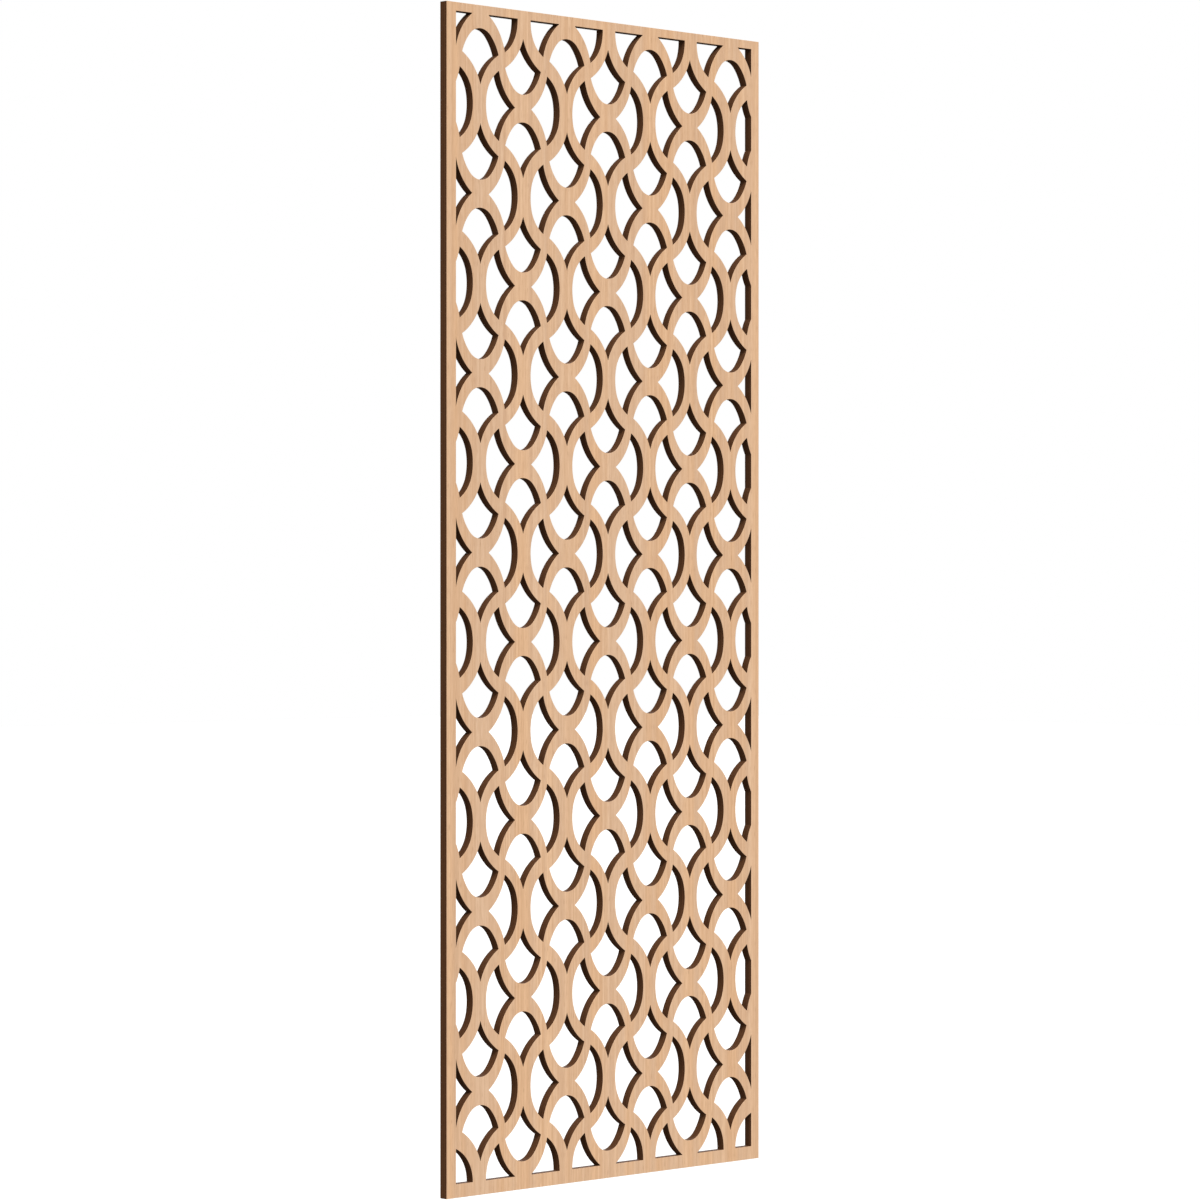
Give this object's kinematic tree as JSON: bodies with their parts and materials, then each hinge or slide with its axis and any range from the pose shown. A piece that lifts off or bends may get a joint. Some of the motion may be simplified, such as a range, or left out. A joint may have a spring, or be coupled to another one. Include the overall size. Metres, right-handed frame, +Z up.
{
  "type": "fretwork panel",
  "caption": "Tall flat screen panel of veneered plywood, cut right through with rows of linked rings inside a narrow solid border.",
  "frame": {"origin": "on the back face, at the middle of the bottom edge", "axes": "+Z up the panel, +X across it to the right as seen from the front, +Y out of the back face; the show face looks along -Y"},
  "size_m": [0.912, 0.0191, 2.4003],
  "materials": {
    "face_veneer": "pale tan veneer, sanded, long grain up the panel, satin",
    "crossband": "dark brown cut edge, grain across the panel, matt",
    "long_grain_ply": "dark brown cut edge, grain up the panel, matt"
  },
  "bodies": {
    "root": {"front_face_veneer": "face_veneer", "front_crossband": "crossband", "front_inner_ply": "long_grain_ply", "centre_ply": "crossband", "back_inner_ply": "long_grain_ply", "back_crossband": "crossband", "back_face_veneer": "face_veneer"}
  },
  "joints": []
}
